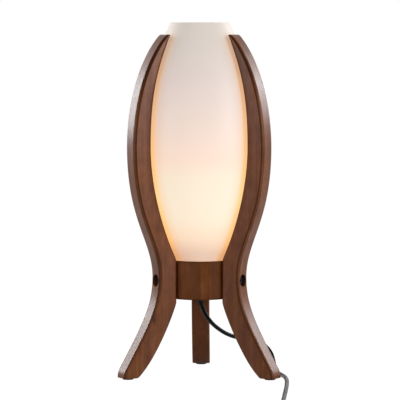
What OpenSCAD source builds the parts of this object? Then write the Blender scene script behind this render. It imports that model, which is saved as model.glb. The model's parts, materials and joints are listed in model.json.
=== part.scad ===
// Table lamp: an egg of opal glass held between three S-shaped wooden legs.
// Each leg is bolted to a round wooden hub at the waist. The glass stands in the hub, open at the
// top, round a warm bulb in a screw lamp holder. The mains cord leaves under the hub, runs past the
// right foot to an in-line rocker switch, and the rest is wound up, with its plug.
// Millimetres. +Z is up, the floor is z = 0 and the lamp's axis is x = y = 0. The front is -Y.

/* [Legs] */
// Thickness of the leg boards
leg_t = 23.5; // [21:0.5:26]
// Rounding along the long edges of a leg
leg_edge_r = 3.8; // [2:0.2:5]
// Height of the top of a leg
leg_h = 442.5; // [437:0.5:447]
// Distance of the toe from the axis
toe_r = 116; // [110:1:122]
// Distance of the heel, the inner corner of the sole
heel_r = 95; // [90:1:98]
// Distance of the outer edge at the waist
waist_r = 65; // [63:0.5:68]
// Height of the waist
waist_z = 130; // [125:1:135]
// Distance of the outer edge at its widest point above the waist
belly_r = 101.8; // [99:0.2:106]
// Height of that widest point
belly_z = 297; // [287:1:307]
// Distance of the shoulder, where the outer edge turns over into the top
shoulder_r = 64; // [61:0.5:66]
// Gap between the glass and the inner edge of a leg
glass_gap = 2.3; // [1.5:0.1:3.5]

/* [Feet] */
// Thickness of the foot pads
pad_t = 2; // [1.8:0.1:4]
// Diameter of the foot pads
pad_d = 14; // [12:0.5:16]
// Distance of a pad's centre from the axis
pad_at_r = 105.4; // [103:0.2:108]

/* [Hub] */
// Diameter of the hub
hub_d = 80; // [79:0.5:84]
// Height of the hub
hub_h = 50; // [47:1:54]
// Height of the hub's underside above the floor
hub_z = 100.8; // [98:0.2:104]
// Depth of the flat that each leg seats on
seat_flat = 0.5; // [0.3:0.1:0.9]
// Small chamfer on the hub's edges
hub_edge = 0.8; // [0.4:0.1:1]
// Depth of the rebate that the glass stands in
rebate_h = 8.4; // [7:0.2:11]
// Diameter of the well for the lamp holder
well_d = 44; // [42:0.5:45]
// Thickness of wood under the well
hub_floor_t = 10.6; // [9:0.2:12]
// Diameter of the recess for the nut under the hub
recess_d = 26; // [24:0.5:30]
// Depth of that recess
recess_h = 4.5; // [4:0.1:5]

/* [Shade] */
// Outside diameter of the neck
neck_d = 74; // [72:0.5:75]
// Wall of the glass
glass_t = 3; // [2:0.2:4]
// Height of the glass
shade_h = 314.1; // [306:0.5:322]
// Outside diameter at the widest point
shade_d = 148.8; // [144:0.4:151]
// Height of the widest point above the neck's end
shade_belly_h = 154; // [146:1:162]
// Outside diameter at the mouth
mouth_d = 77.6; // [72:0.4:82]
// Thickness of the gasket under the glass
gasket_t = 1.5; // [1:0.1:2.5]
// Turn of the glass's mould seam from the viewer's right
seam_turn = 30; // [0:5:90]

/* [Fastenings] */
// Diameter of the leg bolts
bolt_d = 5.9; // [5:0.1:6.5]
// Diameter of a bolt's head
bolt_head_d = 13.4; // [11:0.2:14]
// Thickness of a bolt's head
bolt_head_t = 3.3; // [2.5:0.1:4]
// Size of the hexagon socket in a bolt's head, across flats
hex_key = 5; // [4:0.5:6]
// Diameter of the counterbore in a leg
counterbore_d = 15; // [14.6:0.1:16]
// Wood left between the counterbore and the hub
clamp_t = 16.5; // [14:0.5:18]
// Thickness of a washer
washer_t = 1; // [0.6:0.1:1.6]
// Outside diameter of a threaded insert
insert_d = 9; // [8:0.2:10]
// Length of a threaded insert
insert_l = 13; // [10:0.5:14]
// Diameter of a dowel
dowel_d = 6; // [5:0.5:7]
// Length of a dowel
dowel_l = 20; // [16:1:20]
// Height of the dowels above and below the bolt
dowel_dz = 11; // [10:0.5:11.5]
// Clearance between pieces that fit into each other
fit_gap = 0.05; // [0.02:0.01:0.1]

/* [Lamp holder] */
// Outside diameter of the lamp holder
holder_d = 38; // [37:0.5:40]
// Height of the lamp holder above the well's floor
holder_h = 45; // [42:1:46]
// Height of its lower cup
cap_h = 12; // [11:0.5:13]
// Wall of its cup and sleeve
holder_wall = 1.6; // [1.2:0.1:2]
// Outside diameter of the threaded pipe
pipe_d = 9.9; // [9.5:0.1:10.5]
// Bore of the threaded pipe
pipe_bore = 7; // [6.6:0.1:7.4]

/* [Bulb] */
// Diameter of the bulb's screw cap
bulb_cap_d = 26.1; // [25.5:0.1:26.5]
// Largest diameter of the bulb
bulb_d = 60; // [54:1:64]
// Length of the bulb from its contact to its top
bulb_l = 106; // [100:1:112]
// Running gap between the bulb's cap and the holder
cap_gap = 0.1; // [0.1:0.05:0.3]

/* [Cord] */
// Diameter of the mains cord
cord_d = 5.5; // [5:0.1:6]
// Lean of the cord grip's tail away from straight down
grip_lean = 22; // [10:1:24]
// Direction of that lean, seen from above
grip_turn = 20; // [10:5:50]
// Outside radius of the coil, at the middle of the cord
coil_r = 39.5; // [38:0.5:42]
// Distance between neighbouring turns
turn_pitch = 6; // [5.95:0.05:6.5]
// Turns in the coil, in two layers
coil_turns = 5.5; // [4.5:1:5.5]
// Thickness of the tie
tie_t = 0.6; // [0.4:0.1:1]
// Width of the tie
tie_w = 8; // [5:1:12]

/* [Switch] */
// Length of the in-line switch with its collars
switch_l = 60; // [58:1:64]
// Width of the switch
switch_w = 23; // [22:0.5:26]
// Height of the switch
switch_h = 15; // [14.6:0.1:16]
// Wall of the switch case
switch_wall = 2; // [1.6:0.1:2.2]
// Length of the rocker
rocker_l = 20.2; // [18:0.2:21]
// Width of the rocker
rocker_w = 10.8; // [9:0.2:11]
// Tilt of the rocker to each side
rocker_tilt = 12; // [8:1:14]

/* [Plug] */
// Width of the plug
plug_w = 24; // [22:0.5:27]
// Height of the plug
plug_h = 18.7; // [17:0.1:20]
// Length of the plug's body
plug_l = 28; // [24:1:32]
// Length of the blades outside the plug
blade_l = 17; // [16:0.5:18]
// Distance between the blades' middles
blade_gap = 12.7; // [12.5:0.1:13]

/* [Hidden] */
$fn = 64;
tiny = 0.01;

wood = "#6b412d";
dark_wood = "#54321f";
opal = "#f3e2d0";
black = "#1a1a1b";
brass = "#c8a24a";
steel = "#b9bbbd";
white_plastic = "#ecebe6";

leg_turns = [90, 210, 330];
hub_r = hub_d / 2;
hub_top = hub_z + hub_h;
seat_r = hub_r - seat_flat;
bolt_z = hub_z + hub_h / 2;
counterbore_at = seat_r + clamp_t;
floor_z = hub_z + hub_floor_t;
ledge_z = hub_top - rebate_h;
neck_z = ledge_z + gasket_t;
shade_top = neck_z + shade_h;
shade_belly_z = neck_z + shade_belly_h;

// Point at t from 0 to 1 on the cubic curve from a to d with the handles b and c
function bezier(a, b, c, d, t) =
    pow(1 - t, 3) * a + 3 * pow(1 - t, 2) * t * b + 3 * (1 - t) * t * t * c + pow(t, 3) * d;
// n steps along that curve, from the step called first
function curve(a, b, c, d, n, first = 0) = [for (i = [first : n]) bezier(a, b, c, d, i / n)];
// Direction in the (r, z) plane that leans outward from straight up by an angle
function lean(angle) = [sin(angle), cos(angle)];
function mix(a, b, t) = a + (b - a) * t;
function unit(v) = v / norm(v);

// The glass, as (r, z) points from the neck up to the mouth, with its curves' handles
neck_lean = 27;
neck_handle = 53;
belly_handle_low = 44;
belly_handle_high = 68;
mouth_handle = 63;
mouth_lean = -25;
neck_straight = 8;
lip_r = glass_t / 2;
neck_end = [neck_d / 2, neck_z + neck_straight];
glass_belly = [shade_d / 2, shade_belly_z];
mouth_end = [mouth_d / 2, shade_top - lip_r * (1 + sin(mouth_lean))];
glass_steps = 14;
glass_outer = concat(
    [[neck_d / 2, neck_z]],
    curve(neck_end, neck_end + neck_handle * lean(neck_lean),
        glass_belly - [0, belly_handle_low], glass_belly, glass_steps),
    curve(glass_belly, glass_belly + [0, belly_handle_high],
        mouth_end - mouth_handle * lean(mouth_lean), mouth_end, glass_steps, 1)
);
function glass_r(z) = lookup(z, [for (p = glass_outer) [p[1], p[0]]]);

// Points of a profile moved to its left by a distance, seen along the profile
function moved_in(pts, distance) = [
    for (i = [0 : len(pts) - 1])
        let (along = unit(pts[min(i + 1, len(pts) - 1)] - pts[max(i - 1, 0)]))
        pts[i] + distance * [-along[1], along[0]]
];
function reversed(pts) = [for (i = [len(pts) - 1 : -1 : 0]) pts[i]];
function half_round(c, r, from, to, n) =
    [for (i = [0 : n]) c + r * [cos(mix(from, to, i / n)), sin(mix(from, to, i / n))]];

// The two long edges of a leg, as (r, z) points from the sole to the top, station by station
toe_rise = 12.4;
toe_back = 3.6;
toe_handle = 5;
shin_lean = -31;
shin_handle = 62;
waist_handle_low = 38;
waist_handle_high = 46;
belly_reach_low = 94;
belly_reach_high = 52;
shoulder_handle = 38;
shoulder_lean = -37;
shoulder_drop = 12;
shoulder_round = 4;
tip_w = 3;
tip_in = 3.8;
heel_lean = -48.7;
heel_handle = 38.6;
seat_handle = 5;
seat_drop = 3.8;
tip_drop = 1.2;
toe_steps = 3;
shin_steps = 10;
waist_steps = 12;
top_steps = 10;
tip_steps = 4;
shin_start = [toe_r - toe_back, pad_t + toe_rise];
waist = [waist_r, waist_z];
belly = [belly_r, belly_z];
shoulder = [shoulder_r, leg_h - shoulder_drop];
shoulder_inner_r = glass_r(leg_h - shoulder_drop) + glass_gap;
tip_r = shoulder_inner_r - tip_in;
outer_edge = concat(
    curve([toe_r, pad_t], [toe_r, pad_t + toe_handle], shin_start - toe_handle * lean(shin_lean),
        shin_start, toe_steps),
    curve(shin_start, shin_start + shin_handle * lean(shin_lean),
        waist - [0, waist_handle_low], waist, shin_steps, 1),
    curve(waist, waist + [0, waist_handle_high], belly - [0, belly_reach_low], belly, waist_steps, 1),
    curve(belly, belly + [0, belly_reach_high], shoulder - shoulder_handle * lean(shoulder_lean),
        shoulder, top_steps, 1),
    curve(shoulder, shoulder + shoulder_round * lean(shoulder_lean),
        [tip_r + tip_w + shoulder_round, leg_h], [tip_r + tip_w, leg_h], tip_steps, 1)
);
seat_foot = [seat_r, hub_z - seat_drop];
seat_steps_low = toe_steps;
seat_steps_high = 2;
glass_follow = [
    for (i = [1 : waist_steps - seat_steps_high])
        mix(hub_top, belly_z, i / (waist_steps - seat_steps_high)),
    for (i = [1 : top_steps]) mix(belly_z, leg_h - shoulder_drop, i / top_steps)
];
inner_edge = concat(
    curve([heel_r, pad_t], [heel_r, pad_t] + heel_handle * lean(heel_lean),
        seat_foot - [0, seat_handle], seat_foot, shin_steps),
    [for (i = [1 : seat_steps_low]) mix(seat_foot, [seat_r, waist_z], i / seat_steps_low)],
    [for (i = [1 : seat_steps_high]) [seat_r, mix(waist_z, hub_top, i / seat_steps_high)]],
    [for (z = glass_follow) [max(seat_r, glass_r(z) + glass_gap), z]],
    [for (i = [1 : tip_steps])
        [mix(shoulder_inner_r, tip_r, i / tip_steps),
            mix(leg_h - shoulder_drop, leg_h - tip_drop, i / tip_steps)]]
);

// Faces of a skin over rings of n points each, closed at both ends
function skin_faces(rings, n) = concat(
    [for (i = [0 : rings - 2], k = [0 : n - 1]) [i * n + k, (i + 1) * n + k, i * n + (k + 1) % n]],
    [for (i = [0 : rings - 2], k = [0 : n - 1])
        [(i + 1) * n + k, (i + 1) * n + (k + 1) % n, i * n + (k + 1) % n]],
    [for (k = [1 : n - 2]) [0, k, k + 1]],
    [for (k = [1 : n - 2]) [(rings - 1) * n, (rings - 1) * n + k + 1, (rings - 1) * n + k]]
);

// A rounded rectangle of w by t, as (a, b) points round its middle
corner_steps = 3;
function corner(w, t, r, turn) = [
    for (i = [0 : corner_steps])
        let (a = turn + 90 * i / corner_steps)
        [(w / 2 - r) * sign(cos(turn + 45)) + r * cos(a), (t / 2 - r) * sign(sin(turn + 45)) + r * sin(a)]
];
function section(w, t, r) = [for (turn = [0 : 90 : 270]) each corner(w, t, r, turn)];
thin_share = 0.45;
function leg_ring(outer, inner) =
    let (w = norm(outer - inner), across = (outer - inner) / w, middle = (outer + inner) / 2)
    [for (p = section(w, leg_t, min(leg_edge_r, thin_share * w)))
        [middle[0] + p[0] * across[0], p[1], middle[1] + p[0] * across[1]]];

module leg_blank() {
    rings = [for (i = [0 : len(outer_edge) - 1]) leg_ring(outer_edge[i], inner_edge[i])];
    polyhedron([for (ring = rings) each ring], skin_faces(len(rings), len(rings[0])), convexity = 6);
}

// A cylinder along +X from x = from to x = to, at height z
module radial(d, from, to, z = bolt_z) {
    translate([from, 0, z]) rotate([0, 90, 0]) cylinder(d = d, h = to - from);
}

bolt_hole_gap = 0.3;
bolt_tip_at = seat_r - 15;
nail_d = 2.4;
nail_head_d = 8;
nail_head_t = 0.8;
nail_in = 14;
nail_head_z = 0.9;
dowel_in = dowel_l / 2;

module leg(turn) {
    color(wood) rotate(turn) difference() {
        leg_blank();
        radial(bolt_d + 2 * bolt_hole_gap, seat_r - 1, counterbore_at + 1);
        radial(counterbore_d, counterbore_at, belly_r);
        for (side = [-1, 1])
            radial(dowel_d + 2 * fit_gap, seat_r - 1, seat_r + dowel_in + 1, bolt_z + side * dowel_dz);
        translate([pad_at_r, 0, pad_t - 1]) cylinder(d = nail_d + 2 * fit_gap, h = nail_in + 1.5);
    }
}

module leg_rear() { leg(leg_turns[0]); }
module leg_front_left() { leg(leg_turns[1]); }
module leg_front_right() { leg(leg_turns[2]); }

module hub() {
    neck_room = 0.5;
    pipe_room = 0.15;
    neck_hole_r = neck_d / 2 + neck_room;
    pipe_hole_r = pipe_d / 2 + pipe_room;
    color(dark_wood) difference() {
        rotate_extrude() polygon([
            [pipe_hole_r, hub_z + recess_h], [recess_d / 2, hub_z + recess_h],
            [recess_d / 2, hub_z], [hub_r - hub_edge, hub_z],
            [hub_r, hub_z + hub_edge], [hub_r, hub_top - hub_edge],
            [hub_r - hub_edge, hub_top], [neck_hole_r, hub_top],
            [neck_hole_r, ledge_z], [well_d / 2, ledge_z],
            [well_d / 2, floor_z], [pipe_hole_r, floor_z]
        ]);
        for (turn = leg_turns) rotate(turn) {
            translate([seat_r, -hub_r, hub_z - 1]) cube([hub_r, hub_d, hub_h + 2]);
            radial(insert_d + 2 * fit_gap, seat_r - insert_l, hub_r);
            radial(bolt_d + 2 * bolt_hole_gap, bolt_tip_at - 1, hub_r);
            for (side = [-1, 1])
                radial(dowel_d + 2 * fit_gap, seat_r - dowel_in - 0.5, hub_r, bolt_z + side * dowel_dz);
        }
    }
}

module leg_bolts() {
    head_at = counterbore_at + washer_t;
    hex_depth = 2.2;
    color(black) for (turn = leg_turns) rotate(turn) difference() {
        union() {
            radial(bolt_d, bolt_tip_at, head_at + 0.5);
            radial(bolt_head_d, head_at, head_at + bolt_head_t);
        }
        translate([head_at + bolt_head_t - hex_depth, 0, bolt_z]) rotate([0, 90, 0])
            cylinder(d = hex_key / cos(30), h = hex_depth + 1, $fn = 6);
    }
}

module bolt_washers() {
    color(black) for (turn = leg_turns) rotate(turn) difference() {
        radial(counterbore_d - 0.8, counterbore_at, counterbore_at + washer_t);
        radial(bolt_d + 2 * bolt_hole_gap, counterbore_at - 1, counterbore_at + washer_t + 1);
    }
}

module hub_inserts() {
    color(brass) for (turn = leg_turns) rotate(turn) difference() {
        radial(insert_d, seat_r - insert_l, seat_r - 0.3);
        radial(bolt_d + 2 * fit_gap, seat_r - insert_l - 1, seat_r + 1);
    }
}

module leg_dowels() {
    color("#c9a878") for (turn = leg_turns, side = [-1, 1]) rotate(turn)
        radial(dowel_d, seat_r - dowel_in, seat_r + dowel_in, bolt_z + side * dowel_dz);
}

module foot_pads() {
    edge = 0.4;
    color(black) for (turn = leg_turns) rotate(turn) translate([pad_at_r, 0, 0]) difference() {
        rotate_extrude() polygon([
            [0, 0], [pad_d / 2 - edge, 0], [pad_d / 2, edge], [pad_d / 2, pad_t], [0, pad_t]
        ]);
        translate([0, 0, nail_head_z]) cylinder(d = nail_head_d, h = nail_head_t);
        translate([0, 0, nail_head_z]) cylinder(d = nail_d, h = pad_t);
    }
}

module pad_nails() {
    color(steel) for (turn = leg_turns) rotate(turn) translate([pad_at_r, 0, nail_head_z]) {
        cylinder(d = nail_head_d, h = nail_head_t);
        cylinder(d = nail_d, h = nail_in);
    }
}

module shade() {
    inner = moved_in(glass_outer, glass_t);
    lip_c = (mouth_end + inner[len(inner) - 1]) / 2;
    lip_turn = atan2(mouth_end[1] - lip_c[1], mouth_end[0] - lip_c[0]);
    color(opal) rotate([0, 0, seam_turn]) rotate_extrude($fn = 96) polygon(concat(
        glass_outer,
        half_round(lip_c, lip_r, lip_turn + 30, lip_turn + 150, 4),
        reversed([for (i = [1 : len(inner) - 1]) inner[i]]),
        [[neck_d / 2 - glass_t, neck_z]]
    ));
}

module shade_gasket() {
    color(white_plastic) translate([0, 0, ledge_z]) difference() {
        cylinder(d = neck_d, h = gasket_t);
        translate([0, 0, -1]) cylinder(d = neck_d - 4 * glass_t, h = gasket_t + 2);
    }
}

// Lamp holder: a cup on the threaded pipe, a base that carries the contacts, and a sleeve round it
pipe_bottom = hub_z - 1;
pipe_in = 7;
pipe_top = floor_z + pipe_in;
nut_t = 3;
nut_across = 14;
pipe_washer_d = 19;
holder_top = floor_z + holder_h;
cap_top = floor_z + cap_h;
base_z = cap_top - 2;
base_t = 8;
base_top = base_z + base_t;
holder_r = holder_d / 2;
sleeve_bore_r = holder_r - holder_wall;
base_r = sleeve_bore_r - fit_gap;
shell_r = bulb_cap_d / 2 + cap_gap;
shell_wall = 0.4;

module threaded_pipe() {
    color(brass) translate([0, 0, pipe_bottom]) difference() {
        cylinder(d = pipe_d, h = pipe_top - pipe_bottom);
        translate([0, 0, -1]) cylinder(d = pipe_bore, h = pipe_top - pipe_bottom + 2);
    }
}

module pipe_nut() {
    top = hub_z + recess_h - washer_t;
    color(brass) translate([0, 0, top - nut_t]) difference() {
        cylinder(d = nut_across / cos(30), h = nut_t, $fn = 6);
        translate([0, 0, -1]) cylinder(d = pipe_d + 2 * fit_gap, h = nut_t + 2);
    }
}

module pipe_washer() {
    color(steel) translate([0, 0, hub_z + recess_h - washer_t]) difference() {
        cylinder(d = pipe_washer_d, h = washer_t);
        translate([0, 0, -1]) cylinder(d = pipe_d + 2 * fit_gap, h = washer_t + 2);
    }
}

module holder_cap() {
    cup_floor = 2;
    boss_r = 8;
    ledge = 1;
    edge = 1.5;
    bore_r = pipe_d / 2 + fit_gap;
    color(black) rotate_extrude() polygon([
        [bore_r, floor_z], [holder_r - edge, floor_z], [holder_r, floor_z + edge],
        [holder_r, cap_top], [sleeve_bore_r, cap_top], [sleeve_bore_r, base_z],
        [sleeve_bore_r - ledge, base_z], [sleeve_bore_r - ledge, floor_z + cup_floor],
        [boss_r, floor_z + cup_floor], [boss_r, pipe_top], [bore_r, pipe_top]
    ]);
}

terminal_at = 12;
terminal_d = 6;
terminal_t = 1.6;
terminal_in = 5;
terminal_drop = 1.9;

module holder_base() {
    color("#7b5b3a") difference() {
        translate([0, 0, base_z]) cylinder(r = base_r, h = base_t);
        for (side = [-1, 1]) translate([side * terminal_at, 0, base_z - 1])
            cylinder(d = terminal_d / 2 + 2 * fit_gap, h = terminal_in + 1);
    }
}

module terminal_screws() {
    color(brass) for (side = [-1, 1]) translate([side * terminal_at, 0, base_z - terminal_drop]) {
        translate([0, 0, -terminal_t]) cylinder(d = terminal_d, h = terminal_t);
        cylinder(d = terminal_d / 2, h = terminal_drop + terminal_in - 0.2);
    }
}

module holder_sleeve() {
    lip_in = 3.4;
    lip_t = 1.5;
    color(black) rotate_extrude() polygon([
        [sleeve_bore_r, cap_top], [holder_r, cap_top], [holder_r, holder_top - 1],
        [holder_r - 1, holder_top], [sleeve_bore_r - lip_in + 1, holder_top],
        [sleeve_bore_r - lip_in, holder_top - lip_t], [sleeve_bore_r, holder_top - lip_t]
    ]);
}

module screw_shell() {
    shell_h = holder_top - 3 - base_top;
    hole_r = 9;
    color(brass) difference() {
        translate([0, 0, base_top]) cylinder(r = shell_r + shell_wall, h = shell_h);
        translate([0, 0, base_top + shell_wall]) cylinder(r = shell_r, h = holder_h);
        translate([0, 0, base_top - 1]) cylinder(r = hole_r, h = holder_h);
    }
}

contact_foot_t = 0.8;
contact_h = 2.2;

module centre_contact() {
    color(brass) translate([0, 0, base_top]) {
        cylinder(r = 3.4, h = contact_foot_t);
        cylinder(r = 2.2, h = contact_h);
    }
}

// A core of the cord: up out of the sheath, over the pipe's end and round the terminal's screw
wire_d = 1.8;
wire_apart = 1.2;
wire_z = base_z - fit_gap - wire_d / 2;
wire_hook_r = terminal_d / 4 + wire_d / 2 + fit_gap;
hook_turns = [90, 45, 0, -45, -90];

module core_wire(side) {
    tube([
        [side * wire_apart, 0, lead_top], [side * wire_apart, 0, lead_top + 0.8],
        [side * 1.9, 0.3, pipe_top + 1.4], [side * 3.4, 1, wire_z], [side * 6.5, 2.1, wire_z],
        for (turn = hook_turns)
            [side * (terminal_at + wire_hook_r * cos(turn)), wire_hook_r * sin(turn), wire_z]
    ], wire_d, 6, [0, 1, 0]);
}

module line_wire() { color("#2b2b2b") core_wire(1); }
module neutral_wire() { color("#e6e6e0") core_wire(-1); }

// Cord grip: a stem in the pipe, a flange under it and a soft tail that leans the way the cord goes
grip_stem_l = 17;
grip_flange_t = 2;
grip_flange_r = 6;
grip_root_r = 3.8;
grip_tip_r = 3.2;
grip_tail_l = 7;
grip_step = 0.2;
grip_sides = 12;
grip_elbow = 1.1;
grip_z = pipe_bottom;
grip_bend = [0, 0, grip_z - grip_flange_t - grip_step - grip_elbow];
grip_way = [sin(grip_lean) * cos(grip_turn), sin(grip_lean) * sin(grip_turn), -cos(grip_lean)];
cord_out = grip_bend + grip_tail_l * grip_way;
cord_r = cord_d / 2;
lead_top = grip_z + grip_stem_l + 1.2;
grip_path = [
    [0, 0, grip_z], [0, 0, grip_z - grip_step], [0, 0, grip_z - grip_flange_t],
    [0, 0, grip_z - grip_flange_t - grip_step], grip_bend + grip_elbow * grip_way, cord_out
];
grip_stem_r = pipe_bore / 2 - fit_gap;
grip_radii = [
    grip_stem_r, grip_stem_r, grip_flange_r, grip_flange_r, grip_root_r, grip_root_r, grip_tip_r
];

module cord_grip() {
    color(black) sleeve(concat([[0, 0, grip_z + grip_stem_l]], grip_path), grip_radii,
        cord_r + fit_gap, grip_sides, [1, 0, 0]);
}

module cord_lead() {
    color(black) tube(concat([[0, 0, lead_top]], grip_path), cord_d, grip_sides, [1, 0, 0]);
}

// Bulb: its heights count from the tip of its contact
bulb_z = base_top + contact_h + fit_gap;
bulb_r = bulb_d / 2;
bulb_cap_r = bulb_cap_d / 2;
tip_t = 1.4;
insulator_t = 4;
bulb_cap_l = 21;
bulb_cap_z = bulb_z + tip_t + insulator_t;
collar_z = bulb_cap_z + bulb_cap_l;
collar_h = 28;
collar_top_r = bulb_r - 4;
bulb_wall = 1.2;
bulb_lean = 12;
globe_z = collar_z + collar_h;
globe_mid = [bulb_r, globe_z + 21];
bulb_top = bulb_z + bulb_l;

module bulb_contact() {
    color(steel) translate([0, 0, bulb_z]) {
        cylinder(r1 = 2.6, r2 = 4.6, h = tip_t - 0.2);
        translate([0, 0, tip_t - 0.2]) cylinder(r = 4.6, h = 0.2);
    }
}

module bulb_insulator() {
    color(black) translate([0, 0, bulb_z + tip_t])
        cylinder(r1 = 5, r2 = bulb_cap_r - 1, h = insulator_t);
}

module bulb_cap() {
    wall = 0.5;
    color(steel) rotate_extrude() polygon([
        [0, bulb_cap_z], [bulb_cap_r - 1, bulb_cap_z], [bulb_cap_r, bulb_cap_z + 1],
        [bulb_cap_r, collar_z], [bulb_cap_r - wall, collar_z],
        [bulb_cap_r - wall, bulb_cap_z + 1 + wall], [0, bulb_cap_z + 1 + wall]
    ]);
}

module bulb_housing() {
    foot = [bulb_cap_r + 1.2, collar_z + 1.5];
    top = [collar_top_r, globe_z];
    wall = 1.8;
    side = curve(foot, foot + [0, 8], top - 12 * lean(bulb_lean), top, 8);
    inner = moved_in(side, wall);
    color(white_plastic) rotate_extrude() polygon(concat(
        [[bulb_cap_r - 2, collar_z], [bulb_cap_r + 0.6, collar_z]], side,
        [[collar_top_r - wall, globe_z]],
        reversed([for (i = [0 : len(inner) - 2]) inner[i]]), [[bulb_cap_r - 2, collar_z + wall]]
    ));
}

module led_plate() {
    plate_t = 1.6;
    plate_r = collar_top_r - 3.2;
    chip = 3;
    chip_t = 0.8;
    chips = 8;
    color(steel) translate([0, 0, globe_z - 2.6]) cylinder(r = plate_r, h = plate_t);
    color("#f2d24a") for (i = [0 : chips - 1]) rotate(360 * i / chips)
        translate([plate_r / 2 - chip / 2, -chip / 2, globe_z - 2.6 + plate_t - tiny])
            cube([chip, chip, chip_t]);
}

module bulb_globe() {
    start = [collar_top_r, globe_z];
    outer = concat(
        curve(start, start + 7 * lean(bulb_lean), globe_mid - [0, 9], globe_mid, 6),
        curve(globe_mid, [bulb_r, mix(globe_mid[1], bulb_top, 0.55)],
            [bulb_r * 0.55, bulb_top], [0, bulb_top], 10, 1)
    );
    moved = moved_in(outer, bulb_wall);
    inner = concat(
        [[collar_top_r - bulb_wall, globe_z]],
        [for (i = [1 : len(moved) - 1]) if (moved[i][0] > bulb_wall) moved[i]],
        [[0, bulb_top - bulb_wall]]
    );
    color("#fff3d6") rotate_extrude() polygon(concat(outer, reversed(inner)));
}

// A round tube over points: ring directions are carried along without twist
function tangent(pts, i) = unit(pts[min(i + 1, len(pts) - 1)] - pts[max(i - 1, 0)]);
function carried(pts, i, side) = i == len(pts) ? [] :
    let (t = tangent(pts, i), s = unit(side - (side * t) * t)) concat([s], carried(pts, i + 1, s));
function tube_points(pts, radii, n, side) =
    let (sides = carried(pts, 0, side))
    [for (i = [0 : len(pts) - 1], k = [0 : n - 1])
        let (t = tangent(pts, i), a = 360 * k / n)
        pts[i] + radii[i] * (cos(a) * sides[i] + sin(a) * cross(t, sides[i]))];
function same(value, pts) = [for (p = pts) value];
module tube(pts, d, n, side) {
    polyhedron(tube_points(pts, same(d / 2, pts), n, side), skin_faces(len(pts), n), convexity = 10);
}

// Faces of a wall between an outer skin and an inner one, each of rings of n points
function ring_of_faces(a, b, n) = concat(
    [for (k = [0 : n - 1]) [a + k, b + k, a + (k + 1) % n]],
    [for (k = [0 : n - 1]) [b + k, b + (k + 1) % n, a + (k + 1) % n]]
);
function wall_faces(rings, n) = let (inner = rings * n) concat(
    [for (i = [0 : rings - 2]) each ring_of_faces(i * n, (i + 1) * n, n)],
    [for (i = [0 : rings - 2]) each ring_of_faces(inner + (i + 1) * n, inner + i * n, n)],
    ring_of_faces(inner, 0, n),
    ring_of_faces((rings - 1) * n, inner + (rings - 1) * n, n)
);
module sleeve(pts, radii, bore_r, n, side) {
    polyhedron(concat(tube_points(pts, radii, n, side), tube_points(pts, same(bore_r, pts), n, side)),
        wall_faces(len(pts), n), convexity = 6);
}

// Smooth curve through points, with extra rings between each pair
function between(a, b, c, d, t) = 0.5 * (2 * b + (c - a) * t + (2 * a - 5 * b + 4 * c - d) * t * t
    + (3 * b - a - 3 * c + d) * t * t * t);
function smooth(pts, n) = concat(
    [for (i = [0 : len(pts) - 2], k = [0 : n - 1])
        between(pts[max(i - 1, 0)], pts[i], pts[i + 1], pts[min(i + 2, len(pts) - 1)], k / n)],
    [pts[len(pts) - 1]]
);
// The same with its two end stretches kept straight
function with_ends(pts, n) = concat(
    [pts[0]], smooth([for (i = [1 : len(pts) - 2]) pts[i]], n), [pts[len(pts) - 1]]);

// Places of the pieces on the cord
switch_at = [20, -381];
switch_axis_z = switch_h / 2;
switch_in = [switch_at[0] + switch_l / 2, switch_at[1], switch_axis_z];
switch_out = [switch_at[0] - switch_l / 2, switch_at[1], switch_axis_z];
coil_at = [-46, switch_at[1] - coil_r];
layer_z = [tie_t + cord_r, tie_t + cord_r + turn_pitch];
coil_in = [coil_at[0] + cord_d, coil_at[1] + coil_r, layer_z[0]];
coil_out = [coil_at[0] + cord_d, coil_at[1] - coil_r, layer_z[1]];
plug_in = [-12, coil_at[1] - coil_r, plug_h / 2];

// The cord's free stretch, from under the hub past the right foot to the switch
drop_route = [
    cord_out, cord_out + cord_d * grip_way,
    [7, 3.6, 78.6], [11.2, 7.6, 71.8], [16.8, 13.4, 64.4], [23.8, 20.6, 57.6], [33, 29.4, 50.6],
    [43.2, 39, 45.2], [56, 46.4, 41.6], [68, 49.4, 39.4], [78, 48.2, 36.4], [87.4, 43.6, 30.4],
    [93.6, 37, 22.6], [96.4, 28.6, 14.6], [98, 16, 7.6], [100.2, 2.4, 3.9], [103, -12, 2.95],
    [106.2, -26, 2.8],
    [109.4, -41, 2.75], [111.4, -58, 2.75],
    [112.4, -82, 2.75], [112, -110, 2.75], [111, -140, 2.75], [109.6, -172, 2.75],
    [108, -205, 2.75], [106.4, -238, 2.75], [105, -267, 2.75], [103.6, -294, 2.75],
    [101, -319, 2.78], [94, -343, 2.8], [84, -362, 3.1], [72, -374, 4.6], [62, -380, 6.6],
    switch_in + [cord_d, 0, 0], switch_in
];
link_route = [
    switch_out, switch_out - [cord_d, 0, 0], [-22, switch_at[1], 6.2], [-29, switch_at[1], 4.6],
    coil_in + [cord_d, 0, 0], coil_in
];
tail_route = [coil_out, coil_out + [cord_d, 0, 0], plug_in - [cord_d, 0, 0], plug_in];

module cord_drop() {
    color(black) tube(with_ends(drop_route, 2), cord_d, 8, [1, 0, 0]);
}

module cord_link() {
    color(black) tube(with_ends(link_route, 1), cord_d, 8, [0, 1, 0]);
}

module cord_tail() {
    color(black) tube(tail_route, cord_d, 8, [0, 1, 0]);
}

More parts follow.
